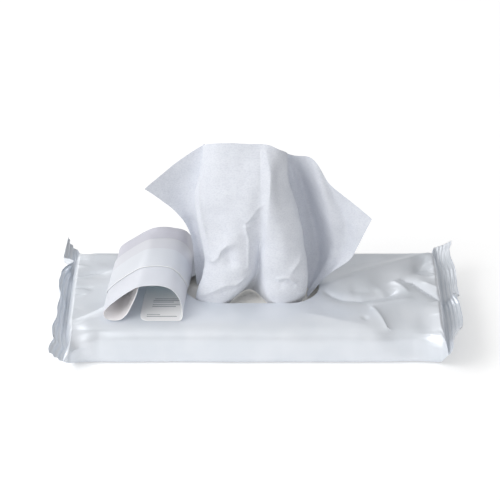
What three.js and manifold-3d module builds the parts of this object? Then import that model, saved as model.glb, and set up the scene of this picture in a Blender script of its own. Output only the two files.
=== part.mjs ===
// A soft flow-wrapped pack of cleanroom wipes, opened: the resealable label is peeled off the
// top to the left and has curled over itself, and the first wipe is drawn out of the opening.
// Millimetres, +Z up. X runs along the pack, -Y is the front, and the pack lies on z = 0.
import * as THREE from "three";
import { mergeVertices } from "three/addons/utils/BufferGeometryUtils.js";
import Module from "manifold-3d";

const wasm = await Module();
wasm.setup();

// Wipes: a cut of 279 x 229 mm, folded once and interleaved.
const WIPE_WIDTH = 279;
const WIPE_DEPTH_FOLDED = 114.5;
const WIPE_THICKNESS = 0.4;
const STACK_BASE = 2.3;
const STACK_TOP = 30;
const STACK_FOLDS = 10;
const FOLD_BULGE = 0.8;
const STACK_ROUNDING = 12;
const STACK_STATIONS = 12;

// Pouch: one film, wrapped round the stack and sealed at both ends and along the bottom.
const FILM = 0.4;
const GAP = 0.3;
const END_ROOM = 5.5;
const SIDE_ROOM = 2.2;
const POUCH_HEIGHT = 36;
const FLATTENING = 0.35;
const SEAL_WIDTH = 15.5;
const SEAL_HALF_THICKNESS = 0.5;
const SEAL_HEIGHT = 17.5;
const EAR = 15.5;
const EAR_TIP = 2;
const FLARE_LENGTH = 26;
const TOP_BOXINESS = 2.7;
const BASE_BOXINESS = 9;
const END_BOXINESS = 2.4;
const CRIMP_RIDGES = 4;
const CRIMP_DEPTH = 0.5;
const FIN_WIDTH = 10;
const FIN_THICKNESS = 0.5;
const FIN_GROOVE = 2;
const FIN_END_GAP = 12;

// Opening: a die-cut slot with round ends in the top film.
const OPENING_LENGTH = 104;
const OPENING_WIDTH = 47;
const OPENING_X = -3;
const OPENING_Y = -2.5;

// Label: anchored at its left end, peeled from the right and curled over to the left.
const LABEL_FILM = 0.35;
const LABEL_WIDTH = 90;
const LABEL_FRONT = -47;
const LABEL_ANCHOR = 31;
const LABEL_ROOT_X = -57.5;
const LABEL_CORNER = 6;
const LABEL_SKEW = 0.085;
const LABEL_GAP = 0.45;
const FLAP_FILM = 0.35;
const FLAP_CLEARANCE = 0.5;

const STACK_HALF = WIPE_WIDTH / 2;
const ROOT_X = STACK_HALF + END_ROOM;
const HALF_DEPTH = WIPE_DEPTH_FOLDED / 2 + SIDE_ROOM;

const SLIVER = 0.02;

const clamp = (v, low, high) => Math.min(high, Math.max(low, v));
const lerp = (a, b, t) => a + (b - a) * t;
const smooth = (t) => {
  const c = clamp(t, 0, 1);
  return c * c * (3 - 2 * c);
};

// Solids from rings and grids of points

function geometryOf(points, triangles) {
  const g = new THREE.BufferGeometry();
  g.setAttribute("position", new THREE.Float32BufferAttribute(points.flat(), 3));
  g.setIndex(triangles);
  return g;
}

// A tube of closed rings with a flat fan at each end.
function ringSolid(rings) {
  const count = rings[0].length;
  const points = rings.flat();
  const triangles = [];
  for (let i = 0; i + 1 < rings.length; i++)
    for (let j = 0; j < count; j++) {
      const a = i * count + j;
      const b = i * count + ((j + 1) % count);
      triangles.push(a, b, a + count, b, b + count, a + count);
    }
  [0, rings.length - 1].forEach((i) => {
    const middle = rings[i].reduce((sum, p) => sum.map((v, k) => v + p[k] / count), [0, 0, 0]);
    const m = points.push(middle) - 1;
    for (let j = 0; j < count; j++) {
      const a = i * count + j;
      const b = i * count + ((j + 1) % count);
      if (i === 0) triangles.push(m, b, a);
      else triangles.push(m, a, b);
    }
  });
  return geometryOf(points, triangles);
}

function gridNormals(grid, wraps) {
  const last = grid.length - 1;
  const count = grid[0].length;
  const at = (i, j) => {
    const row = grid[clamp(i, 0, last)];
    return new THREE.Vector3(...(wraps ? row[(j + count) % count] : row[clamp(j, 0, count - 1)]));
  };
  return grid.map((row, i) =>
    row.map((_, j) => {
      const along = at(i + 1, j).sub(at(i - 1, j));
      const across = at(i, j + 1).sub(at(i, j - 1));
      return across.cross(along).normalize();
    }),
  );
}

// A sheet of even thickness on a grid of points, thickened along its normals.
function sheetSolid(grid, thickness) {
  const rows = grid.length;
  const count = grid[0].length;
  const normals = gridNormals(grid, false);
  const side = (sign) =>
    grid.map((row, i) =>
      row.map((p, j) => {
        const n = normals[i][j];
        const shift = (sign * thickness) / 2;
        return [p[0] + n.x * shift, p[1] + n.y * shift, p[2] + n.z * shift];
      }),
    );
  const points = [...side(1).flat(), ...side(-1).flat()];
  const under = rows * count;
  const triangles = [];
  for (let i = 0; i + 1 < rows; i++)
    for (let j = 0; j + 1 < count; j++) {
      const a = i * count + j;
      const b = a + 1;
      const c = a + count;
      const d = c + 1;
      triangles.push(a, b, c, b, d, c);
      triangles.push(a + under, c + under, b + under, b + under, c + under, d + under);
    }
  const edge = (a, b) => triangles.push(a, a + under, b, b, a + under, b + under);
  for (let j = 0; j + 1 < count; j++) {
    edge(j, j + 1);
    edge((rows - 1) * count + j + 1, (rows - 1) * count + j);
  }
  for (let i = 0; i + 1 < rows; i++) {
    edge((i + 1) * count, i * count);
    edge(i * count + count - 1, (i + 1) * count + count - 1);
  }
  return geometryOf(points, triangles);
}

function solidOf(geometry) {
  const plain = geometry.clone();
  plain.deleteAttribute("normal");
  plain.deleteAttribute("uv");
  const merged = mergeVertices(plain, 1e-4);
  const mesh = new wasm.Mesh({
    numProp: 3,
    vertProperties: merged.attributes.position.array,
    triVerts: new Uint32Array(merged.index.array),
  });
  const solid = new wasm.Manifold(mesh);
  if (solid.volume() > 0) return solid;
  for (let i = 0; i < mesh.triVerts.length; i += 3)
    [mesh.triVerts[i + 1], mesh.triVerts[i + 2]] = [mesh.triVerts[i + 2], mesh.triVerts[i + 1]];
  return new wasm.Manifold(mesh);
}

function geometryOfSolid(solid) {
  const mesh = solid.getMesh();
  const g = new THREE.BufferGeometry();
  g.setAttribute("position", new THREE.BufferAttribute(mesh.vertProperties, 3));
  g.setIndex(new THREE.BufferAttribute(mesh.triVerts, 1));
  return g;
}

// Pouch film

// Long folds in the top film, as lines seen from above, each a valley (negative) or a ridge
// (positive) that fades in over the first part of its line and out over the last part.
const CREASES = [
  { line: [[50, -4], [72, 10], [100, 26], [126, 40], [143, 50]], height: 2.2, width: 8, fadeIn: 0.25, fadeOut: 0.05 },
  { line: [[52, -8], [66, -18], [82, -20], [100, -14], [111, -5]], height: -3.2, width: 5, fadeIn: 0.2, fadeOut: 0.15 },
  { line: [[110, 10], [121, 7], [132, -8], [143, -20]], height: -3, width: 4.5, fadeIn: 0.2, fadeOut: 0.05 },
  { line: [[107, 9], [113, -2], [121, -15]], height: 2.2, width: 4.5, fadeIn: 0.25, fadeOut: 0.25 },
  { line: [[86, -29], [104, -24], [124, -18]], height: 1.6, width: 4, fadeIn: 0.3, fadeOut: 0.3 },
  { line: [[36, -38], [66, -47], [92, -52]], height: 1.1, width: 4.5, fadeIn: 0.35, fadeOut: 0.3 },
  { line: [[88, -30], [96, -44], [102, -56]], height: 1.9, width: 4, fadeIn: 0.3, fadeOut: 0.1 },
  { line: [[136, 44], [127, 24], [119, 12]], height: -1.6, width: 4.5, fadeIn: 0.2, fadeOut: 0.4 },
  { line: [[40, 26], [74, 36], [104, 44]], height: -1.2, width: 8, fadeIn: 0.3, fadeOut: 0.3 },
  { line: [[-143, 13], [-130, 19], [-112, 22]], height: -2.2, width: 3.5, fadeIn: 0.05, fadeOut: 0.4 },
  { line: [[-143, 22], [-128, 27], [-108, 29]], height: 1.1, width: 6, fadeIn: 0.1, fadeOut: 0.5 },
  { line: [[-143, -8], [-126, -6]], height: 1.4, width: 4, fadeIn: 0.05, fadeOut: 0.5 },
  { line: [[-143, -46], [-127, -36], [-108, -22]], height: -1.8, width: 3.8, fadeIn: 0.1, fadeOut: 0.4 },
  { line: [[-143, -53], [-124, -45], [-100, -34]], height: 1.2, width: 4.5, fadeIn: 0.1, fadeOut: 0.5 },
];

// Broad hollows in the top film where it sinks between its folds.
const HOLLOWS = [
  { at: [101, 6], reach: [10, 12], depth: 2.6 },
  { at: [134, 26], reach: [8, 16], depth: 2 },
  { at: [66, 32], reach: [34, 14], depth: 1.4 },
  { at: [-126, 4], reach: [16, 22], depth: 0.9 },
];

// Dents that press the corners of the pouch and of the soft stack in, from outside.
const DENTS = [
  { at: [119, -54, 27], reach: [24, 27, 16], depth: 4.2, steepness: 1.7 },
  { at: [131, -47, 28], reach: [9, 19, 14], depth: 2.4, steepness: 1.8 },
  { at: [132, -62, 12], reach: [9, 10, 9], depth: 2, steepness: 1.5 },
  { at: [-138, -58, 24], reach: [10, 10, 14], depth: 2.2, steepness: 1.6 },
  { at: [139, 58, 22], reach: [10, 11, 14], depth: 2.6, steepness: 1.5 },
  { at: [-138, 58, 22], reach: [10, 11, 14], depth: 2.2, steepness: 1.5 },
];
const STACK_CLEARANCE = 0.8;

// The distance from a place to a line of points, and how far along the line it is nearest.
function nearestOn(line, x, y) {
  const lengths = line.slice(1).map((b, i) => Math.hypot(b[0] - line[i][0], b[1] - line[i][1]));
  const total = lengths.reduce((sum, v) => sum + v, 0);
  let best = { distance: Infinity, along: 0 };
  let done = 0;
  lengths.forEach((long, i) => {
    const [ax, ay] = line[i];
    const dx = line[i + 1][0] - ax;
    const dy = line[i + 1][1] - ay;
    const t = clamp(((x - ax) * dx + (y - ay) * dy) / (long * long), 0, 1);
    const distance = Math.hypot(x - ax - t * dx, y - ay - t * dy);
    if (distance < best.distance) best = { distance, along: (done + t * long) / total };
    done += long;
  });
  return best;
}

function creaseHeight(x, y) {
  let height = 0;
  for (const c of CREASES) {
    const { distance, along } = nearestOn(c.line, x, y);
    const fade = smooth(along / c.fadeIn + 0.25) * smooth((1 - along) / c.fadeOut);
    height += c.height * fade * Math.exp(-((distance / c.width) ** 1.4));
  }
  for (const h of HOLLOWS) {
    const r = ((x - h.at[0]) / h.reach[0]) ** 2 + ((y - h.at[1]) / h.reach[1]) ** 2;
    height -= h.depth * Math.exp(-(r ** 1.4));
  }
  return height;
}

// Closed rings of points pressed in by the dents, and by spare millimetres more where asked.
function pressed(rings, spare) {
  const normals = gridNormals(rings, true);
  return rings.map((ring, i) =>
    ring.map((p, j) => {
      const depth = DENTS.reduce((sum, d) => {
        const r = p.reduce((far, v, k) => far + ((v - d.at[k]) / (d.reach[k] + spare)) ** 2, 0);
        return sum + (d.depth + spare) * Math.exp(-(r ** d.steepness));
      }, 0);
      const n = normals[i][j];
      return [p[0] - n.x * depth, p[1] - n.y * depth, Math.max(0, p[2] - n.z * depth)];
    }),
  );
}

// The pouch's cross-section at x: a rounded box, with an ear that stands out at mid-height.
function sectionAt(x) {
  const inward = ROOT_X - Math.abs(x);
  const flare = clamp(1 - inward / FLARE_LENGTH, 0, 1);
  const end = clamp(1 - inward / END_ROOM, 0, 1);
  const fullHeight = POUCH_HEIGHT / 2 + FLATTENING / 2;
  const halfHeight = lerp(SEAL_HALF_THICKNESS, fullHeight, Math.sqrt(1 - end ** 2));
  const centre = lerp(fullHeight - FLATTENING, SEAL_HEIGHT, smooth(end));
  const halfDepth = lerp(HALF_DEPTH, HALF_DEPTH + EAR - EAR_TIP, end ** 2);
  return {
    halfDepth,
    ear: HALF_DEPTH + EAR * flare ** 1.2 - halfDepth,
    halfHeight,
    centre,
    above: lerp(TOP_BOXINESS, END_BOXINESS, smooth(end)),
    below: lerp(BASE_BOXINESS, END_BOXINESS, smooth(end)),
  };
}

// How far a boxy curve of half-width 1 stands out at w of its half-width.
function boxCurve(w, boxiness) {
  return (1 - Math.abs(clamp(w, -1, 1)) ** boxiness) ** (1 / boxiness);
}

// The height of the top film's outside at a place on the top.
function topHeight(x, y) {
  const s = sectionAt(x);
  const w = clamp(Math.abs(y) / s.halfDepth, 0, 1);
  const bulge = boxCurve(w, s.above);
  const lively = smooth((ROOT_X - Math.abs(x)) / 6) * smooth((1 - w) / 0.12);
  const z = s.centre + s.halfHeight * bulge + creaseHeight(x, y) * lively;
  const flatHalf = WIPE_DEPTH_FOLDED / 2 - STACK_ROUNDING;
  const overStack = Math.abs(x) <= STACK_HALF + 1 && Math.abs(y) <= flatHalf;
  return overStack ? Math.max(z, STACK_TOP + GAP + FILM + 0.3) : z;
}

const TOP_STATIONS = [0.95, 0.86, 0.74, 0.6, 0.46, 0.32, 0.18, 0.05,
  -0.09, -0.22, -0.35, -0.48, -0.6, -0.72, -0.84, -0.94];
const SIDE_STATIONS = [0.75, 0.25, -0.25, -0.75];
const FIN_STATION = (FIN_WIDTH / 2 + FIN_GROOVE) / HALF_DEPTH;
const GROOVE_STATION = FIN_STATION + 0.02;
const BOTTOM_STATIONS = [-0.93, -0.5, -GROOVE_STATION, -FIN_STATION, FIN_STATION, GROOVE_STATION, 0.5, 0.93];

// How each end seal stands: the lift of its fin in degrees at the middle, the back and the
// front, how far its back and front corners rise, and the size of its front ear.
const LEFT_SEAL = { middle: 42, back: 48, front: 36, backRise: 7, frontRise: -4, frontEar: 1 };
const RIGHT_SEAL = { middle: 10, back: 26, front: 74, backRise: 9, frontRise: 1, frontEar: 0.55 };
const sealAt = (x) => (x < 0 ? LEFT_SEAL : RIGHT_SEAL);

function sealLift(x, y) {
  const seal = sealAt(x);
  const back = clamp(y / (HALF_DEPTH + EAR), -1, 1);
  return THREE.MathUtils.degToRad(lerp(seal.middle, back > 0 ? seal.back : seal.front, back * back));
}

function earRise(x, y) {
  const end = smooth(1 - (ROOT_X - Math.abs(x)) / END_ROOM);
  const back = y / (HALF_DEPTH + EAR);
  return end * (y > 0 ? sealAt(x).backRise : sealAt(x).frontRise) * back * back;
}

function pouchPoint(x, y, z) {
  return [x, y, z + earRise(x, y)];
}

function pouchRing(x) {
  const s = sectionAt(x);
  const side = (station, sign) => {
    const boxiness = station > 0 ? s.above : s.below;
    const corner = station > 0 ? TOP_STATIONS[0] : BOTTOM_STATIONS.at(-1);
    const zeta = station * boxCurve(corner, boxiness);
    const w = boxCurve(zeta, boxiness);
    const pull = creaseHeight(x, sign * s.halfDepth * 0.8) * 0.25 * smooth((ROOT_X - Math.abs(x)) / 6);
    const ear = s.ear * (sign < 0 ? sealAt(x).frontEar : 1);
    const y = sign * (s.halfDepth * w + ear * (1 - Math.abs(zeta)) + pull);
    return pouchPoint(x, y, Math.max(0, s.centre + s.halfHeight * zeta));
  };
  const under = (w) => {
    const y = w * s.halfDepth;
    const z = s.centre - s.halfHeight * boxCurve(w, s.below);
    const recess = Math.abs(w) <= FIN_STATION ? FIN_THICKNESS : 0;
    return pouchPoint(x, y, Math.max(recess, z));
  };
  return [
    ...TOP_STATIONS.map((w) => pouchPoint(x, w * s.halfDepth, topHeight(x, w * s.halfDepth))),
    ...SIDE_STATIONS.map((zeta) => side(zeta, -1)),
    ...BOTTOM_STATIONS.map(under),
    ...SIDE_STATIONS.toReversed().map((zeta) => side(zeta, 1)),
  ];
}

function sealRing(sign, q) {
  const crimp = CRIMP_DEPTH * Math.cos((q / SEAL_WIDTH) * CRIMP_RIDGES * 2 * Math.PI);
  return pouchRing(sign * ROOT_X).map(([x, y, z]) => {
    const lift = sealLift(x, y);
    const out = q * Math.cos(lift) - crimp * Math.sin(lift);
    const up = q * Math.sin(lift) + crimp * Math.cos(lift);
    return [x + sign * out, y, z + up];
  });
}

function bodyStations() {
  const inward = [0, 0.8, 2, 3.8, 7, 11, 16, 22, 29, 37, 46, 56, 68, 84, 105];
  const right = inward.map((d) => ROOT_X - d);
  const left = inward.filter((d) => d !== 46 && d !== 68).map((d) => d - ROOT_X);
  return [...left, 0, ...right.toReversed()];
}

function openingPrism() {
  const r = OPENING_WIDTH / 2;
  const half = OPENING_LENGTH / 2 - r;
  const shape = new THREE.Shape();
  shape.absarc(OPENING_X + half, OPENING_Y, r, -Math.PI / 2, Math.PI / 2, false);
  shape.absarc(OPENING_X - half, OPENING_Y, r, Math.PI / 2, (3 * Math.PI) / 2, false);
  const prism = new THREE.ExtrudeGeometry(shape, {
    depth: POUCH_HEIGHT,
    bevelEnabled: false,
    curveSegments: 14,
  });
  return prism.translate(0, 0, STACK_TOP - 2);
}

function makePouch() {
  const body = pressed(bodyStations().map(pouchRing), 0);
  const steps = CRIMP_RIDGES * 2;
  const seal = (sign) =>
    Array.from({ length: steps }, (_, k) => sealRing(sign, ((k + 1) / steps) * SEAL_WIDTH));
  const outer = solidOf(ringSolid([...seal(-1).toReversed(), ...body, ...seal(1)]));
  const normals = gridNormals(body, true);
  const inner = body
    .map((ring, i) =>
      ring.map((p, j) => {
        const n = normals[i][j];
        return [p[0] - n.x * FILM, p[1] - n.y * FILM, p[2] - n.z * FILM];
      }),
    )
    .slice(3, -3);
  const fin = new THREE.BoxGeometry(2 * (ROOT_X - FIN_END_GAP), FIN_WIDTH, FIN_THICKNESS + FILM / 2);
  fin.translate(0, 0, (FIN_THICKNESS + FILM / 2) / 2);
  const pouch = outer
    .add(solidOf(fin))
    .subtract(solidOf(ringSolid(inner)))
    .subtract(solidOf(openingPrism()));
  return geometryOfSolid(pouch.simplify(SLIVER));
}

// Stack of interleaved wipes

function cornerInset(along, total, radius) {
  const d = Math.min(along, total - along);
  if (d >= radius) return 0;
  return radius - Math.sqrt(Math.max(0, radius ** 2 - (radius - d) ** 2));
}

// One ring of the stack: over the top from back to front, down the front folds and up the back.
function stackRing(x) {
  const tall = STACK_TOP - STACK_BASE;
  const pitch = tall / STACK_FOLDS;
  const edge = (k) => WIPE_DEPTH_FOLDED / 2 - cornerInset(k * pitch, tall, STACK_ROUNDING);
  const folds = [];
  for (let k = 0; k < STACK_FOLDS; k++)
    for (const part of [0, 0.25, 0.75])
      folds.push([edge(k + part) + FOLD_BULGE * Math.sin(Math.PI * part), STACK_BASE + (k + part) * pitch]);
  folds.push([edge(STACK_FOLDS), STACK_TOP]);
  const front = folds.toReversed().map(([out, z]) => [x, -out, z]);
  const back = folds.map(([out, z]) => [x, out, z]);
  return [...front, ...back];
}

function makeStack() {
  const xs = Array.from({ length: STACK_STATIONS }, (_, i) => STACK_HALF * Math.cos((Math.PI * i) / (STACK_STATIONS - 1)));
  const rings = xs.toReversed().map(stackRing);
  return ringSolid(pressed(rings, STACK_CLEARANCE));
}

// Drawn wipe

const NECK_Z = STACK_TOP + GAP + 0.3;

// Its folds from the left hem to the right hem, each from the neck up to the top edge.
const FOLDS = {
  leftHem: [[-40, 10, NECK_Z], [-42, 15, 48], [-48, 15, 75], [-58, 11, 94], [-70, 6, 108], [-81, 0, 120]],
  leftWing: [[-35, 13, NECK_Z], [-37, 18, 45], [-44, 18, 73], [-51, 14, 97], [-58, 10, 119], [-60, 6, 138]],
  leftTuck: [[-31, 6, NECK_Z], [-31, 12, 50], [-38, 9, 80], [-41, 6, 111], [-37, 7, 137], [-36, 7, 155]],
  leftRidge: [[-39, -18, NECK_Z], [-37, -19, 42], [-33, -13, 62], [-40, -6, 89], [-43, -3, 117], [-38, 0, 139], [-36, 3, 157]],
  frontLeft: [[-30, -24, NECK_Z], [-28, -25, 42], [-21, -21, 66], [-26, -15, 93], [-29, -11, 121], [-27, -7, 145], [-26, -3, 161]],
  knuckle: [[-17, -24, NECK_Z], [-15, -25, 42], [-9, -24, 62], [-12, -20, 88], [-14, -15, 124], [-14, -10, 146], [-13, -5, 162]],
  valleyLip: [[-12, -21, NECK_Z], [-2, -18, 51], [3, -15, 72], [-3, -19, 101], [-2, -16, 135], [-2, -4, 161]],
  valley: [[-3, -2, NECK_Z], [4, -2, 51], [7, -7, 78], [7, -14, 98], [6, -17, 135], [6, -4, 161]],
  centreRidge: [[9, -22, NECK_Z], [10, -23, 42], [10, -20, 64], [11, -19, 82], [12, -21, 101], [14, -19, 135], [13, -5, 160.5]],
  frontRight: [[26, -24, NECK_Z], [27, -25, 42], [26, -24, 63], [24, -21, 88], [22, -17, 112], [19, -12, 136], [20, -5, 157]],
  rightFold: [[38, -17, NECK_Z], [42, -17, 42], [42, -14, 63], [39, -9, 81], [35, -5, 104], [28, -3, 128], [26, 1, 151]],
  hiddenFold: [[38, 2, NECK_Z], [36, 8, 49], [29, 12, 74], [24, 12, 100], [12, 9, 134], [-3, 4, 152]],
  backPleat: [[42, 6, NECK_Z], [45, 16, 47], [42, 19, 70], [37, 19, 96], [28, 14, 130], [12, 8, 151]],
  deepValley: [[44, 3, NECK_Z], [52, 20, 49], [50, 24, 67], [46, 25, 88], [38, 20, 120], [31, 12, 143]],
  rightRidge: [[43, -2, NECK_Z], [58, 8, 52], [62, 6, 73], [58, 3, 96], [50, 1, 126], [45, 2, 146]],
  rightWing: [[43, -6, NECK_Z], [60, 2, 48], [71, 4, 69], [73, 3, 88], [67, 2, 105], [59, 1, 125]],
  rightHem: [[43, -10, NECK_Z], [58, -5, 47], [76, -3, 61], [81, -5, 73], [86, -8, 87], [91, -10, 100]],
};
const WIPE_ROWS = 20;
const WIPE_STEPS = 3;

function makeDrawnWipe() {
  const curves = Object.values(FOLDS).map(
    (points) =>
      new THREE.CatmullRomCurve3(points.map((p) => new THREE.Vector3(...p)), false, "centripetal"),
  );
  const grid = [];
  for (let i = 0; i <= WIPE_ROWS; i++) {
    const level = curves.map((c) => c.getPointAt(i / WIPE_ROWS));
    const across = new THREE.CatmullRomCurve3(level, false, "centripetal");
    const count = (curves.length - 1) * WIPE_STEPS;
    const row = Array.from({ length: count + 1 }, (_, k) => across.getPoint(k / count).toArray());
    grid.push(row.map(([x, y, z]) => [x + OPENING_X, y, z]));
  }
  return sheetSolid(grid, WIPE_THICKNESS);
}

// Label and the die-cut flap on its back

// The curl's outline from the bend to the tip, in x and in height above the film.
const CURL = [[0, 0], [1.6, 2.5], [1.2, 13], [-3, 21], [-9, 26.5], [-15, 28.2], [-23, 28.5], [-31, 28],
  [-36, 25], [-47, 17], [-54, 10], [-57.5, 4.5], [-55.5, 1.6], [-50, 1.2], [-44, 3], [-40, 7], [-36, 15], [-30, 25]];
const CURL_STEPS = 34;
const ANCHOR_STEPS = 8;
const LABEL_ROWS = 7;

function labelPath(offset) {
  const curve = new THREE.SplineCurve(CURL.map((p) => new THREE.Vector2(...p)));
  const path = [];
  for (let k = 0; k < ANCHOR_STEPS; k++) {
    const along = lerp(-LABEL_ANCHOR, -1.5, k / (ANCHOR_STEPS - 1));
    path.push({ x: along, z: offset, length: along + LABEL_ANCHOR });
  }
  const total = curve.getLength();
  for (let k = 1; k <= CURL_STEPS; k++) {
    const p = curve.getPointAt(k / CURL_STEPS);
    const t = curve.getTangentAt(k / CURL_STEPS);
    path.push({
      x: p.x + t.y * offset,
      z: p.y - t.x * offset,
      length: LABEL_ANCHOR + (k / CURL_STEPS) * total,
    });
  }
  return path;
}

// A point of the label: along its path, and across from front to back.
function labelPoint(step, y) {
  const x = LABEL_ROOT_X + step.x + LABEL_SKEW * (y - LABEL_FRONT);
  const seat = topHeight(Math.max(x, LABEL_ROOT_X - 58), y) + LABEL_GAP + LABEL_FILM / 2;
  return [x, y, seat + step.z];
}

function makeLabel() {
  const path = labelPath(0);
  const total = path.at(-1).length;
  const grid = path.map((step) => {
    const inset = cornerInset(step.length, total, LABEL_CORNER);
    return Array.from({ length: LABEL_ROWS + 1 }, (_, k) => {
      const y = lerp(LABEL_FRONT + inset, LABEL_FRONT + LABEL_WIDTH - inset, k / LABEL_ROWS);
      return labelPoint(step, y);
    });
  });
  return sheetSolid(grid, LABEL_FILM);
}

// The piece of film that was cut out of the opening, stuck to the label's adhesive side.
function makeFlap() {
  const path = labelPath(-(LABEL_FILM / 2 + GAP + FLAP_FILM / 2));
  const middle = OPENING_X + LABEL_ANCHOR - LABEL_ROOT_X;
  const half = OPENING_LENGTH / 2 - FLAP_CLEARANCE;
  const radius = OPENING_WIDTH / 2 - FLAP_CLEARANCE;
  const inside = path.filter((step) => Math.abs(step.length - middle) < half);
  const grid = inside.map((step) => {
    const beyond = Math.max(0, Math.abs(step.length - middle) - (half - radius));
    const reach = Math.sqrt(radius ** 2 - beyond ** 2);
    return Array.from({ length: LABEL_ROWS + 1 }, (_, k) =>
      labelPoint(step, OPENING_Y + lerp(-reach, reach, k / LABEL_ROWS)),
    );
  });
  return sheetSolid(grid, FLAP_FILM);
}

const material = (color, roughness) =>
  new THREE.MeshStandardMaterial({ color, roughness, metalness: 0, side: THREE.DoubleSide });

function named(name, geometry, made) {
  const mesh = new THREE.Mesh(geometry, made);
  mesh.name = name;
  return mesh;
}

const pack = new THREE.Group();
pack.add(named("pouch", makePouch(), material(0xd9dde2, 0.35)));
pack.add(named("wipe_stack", makeStack(), material(0xf2f1ee, 0.9)));
pack.add(named("drawn_wipe", makeDrawnWipe(), material(0xe9edf5, 0.95)));
pack.add(named("reseal_label", makeLabel(), material(0xdfe4ec, 0.4)));
pack.add(named("die_cut_flap", makeFlap(), material(0xe4e8ee, 0.3)));

export default pack;
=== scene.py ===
# A soft flow-wrapped pack of cleanroom wipes, opened: the resealable label is peeled back and
# curled over, and the first wipe is drawn out. Shapes are worked out in millimetres.
import math
import random

import bpy
import numpy as np
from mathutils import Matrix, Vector, noise


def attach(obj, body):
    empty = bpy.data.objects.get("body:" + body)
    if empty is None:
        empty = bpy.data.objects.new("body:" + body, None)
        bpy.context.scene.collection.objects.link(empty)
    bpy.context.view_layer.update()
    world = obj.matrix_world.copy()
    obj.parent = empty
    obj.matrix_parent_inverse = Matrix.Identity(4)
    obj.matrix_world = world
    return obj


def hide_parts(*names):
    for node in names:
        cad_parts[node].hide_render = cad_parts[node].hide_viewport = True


MM = 0.001

# Camera and picture
CAMERA_TARGET = (-4.5, 0.0, 67.3)
CAMERA_DISTANCE = 1600.0
CAMERA_ELEVATION = 30.0
CAMERA_LENS = 149.6
SENSOR = 36.0

# Wipes
WIPE_WIDTH = 279.0
WIPE_DEPTH_FOLDED = 114.5
STACK_BASE = 2.3
STACK_TOP = 30.0
STACK_LAYERS = 34
STACK_ROUNDING = 12.0

# Pouch
END_ROOM = 5.5
SIDE_ROOM = 2.2
POUCH_HEIGHT = 36.0
FLATTENING = 0.35
SEAL_WIDTH = 15.5
SEAL_HALF_THICKNESS = 0.5
SEAL_HEIGHT = 17.5
EAR = 15.5
EAR_TIP = 2.0
FLARE_LENGTH = 26.0
FRONT_BOXINESS = 2.7
BACK_BOXINESS = 5.2
BASE_BOXINESS = 9.0
END_BOXINESS = 2.4
TOOTH_PITCH = 2.4
TOOTH_DEPTH = 0.6
FIN_WIDTH = 10.0
FIN_THICKNESS = 0.5
FIN_GROOVE = 2.0
FIN_END_GAP = 12.0

# Opening
OPENING_LENGTH = 104.0
OPENING_WIDTH = 47.0
OPENING_X = -3.0
OPENING_Y = -2.5

# Label and the flap stuck to it
LABEL_FILM = 0.35
LABEL_WIDTH = 90.0
LABEL_FRONT = -47.0
LABEL_ANCHOR = 31.0
LABEL_ROOT_X = -57.5
LABEL_CORNER = 6.0
LABEL_SKEW = 0.085
FLAP_FILM = 0.35
FLAP_CLEARANCE = 0.5
LABEL_GAP = 0.45
FLAP_GAP = 0.3

STACK_HALF = WIPE_WIDTH / 2
ROOT_X = STACK_HALF + END_ROOM
HALF_DEPTH = WIPE_DEPTH_FOLDED / 2 + SIDE_ROOM

# How each end seal stands: its fin's lift in degrees at the middle, the back and the front, the
# rise of its back and front corners, the size of its front ear, the depth and number of its
# crimped ridges, and the place and width of its kink along y.
LEFT_SEAL = {
    "middle": 42,
    "back": 48,
    "front": 36,
    "back_rise": 7,
    "front_rise": -4,
    "front_ear": 1.0,
    "crimp": 0.55,
    "ridges": 3,
    "kink": 38,
    "kink_width": 6,
}
RIGHT_SEAL = {
    "middle": 10,
    "back": 26,
    "front": 74,
    "back_rise": 9,
    "front_rise": 1,
    "front_ear": 0.55,
    "crimp": 0.2,
    "ridges": 5,
    "kink": -2,
    "kink_width": 5,
}

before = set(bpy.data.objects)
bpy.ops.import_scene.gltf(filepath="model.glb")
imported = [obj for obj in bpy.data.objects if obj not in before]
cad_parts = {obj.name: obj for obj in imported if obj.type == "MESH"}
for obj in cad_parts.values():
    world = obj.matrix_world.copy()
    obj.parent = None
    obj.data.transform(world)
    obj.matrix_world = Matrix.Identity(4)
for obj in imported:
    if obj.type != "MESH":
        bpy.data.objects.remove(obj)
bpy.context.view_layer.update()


# Small maths

SPLINE_STEPS = 24


def smooth(t):
    """0 up to t = 0 and 1 from t = 1, smooth between them."""
    c = np.clip(t, 0, 1)
    return c * c * (3 - 2 * c)


def lerp(a, b, t):
    return a + (b - a) * t


def box_curve(w, boxiness):
    """The height of a rounded box's quarter, from 1 at w = 0 to 0 at w = 1."""
    return (1 - np.abs(np.clip(w, -1, 1)) ** boxiness) ** (1 / boxiness)


def corner_inset(along, total, radius):
    """How far a strip's edge draws in near either end, for rounded corners of that radius."""
    d = min(along, total - along)
    if d >= radius:
        return 0.0
    return radius - math.sqrt(max(0.0, radius**2 - (radius - d) ** 2))


def resample(points, count):
    """Points spaced evenly along an open line of points."""
    points = np.asarray(points, float)
    steps = np.linalg.norm(np.diff(points, axis=0), axis=1)
    along = np.concatenate([[0], np.cumsum(steps)])
    want = np.linspace(0, along[-1], count)
    return np.stack([np.interp(want, along, points[:, k]) for k in range(points.shape[1])], axis=1)


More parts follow.
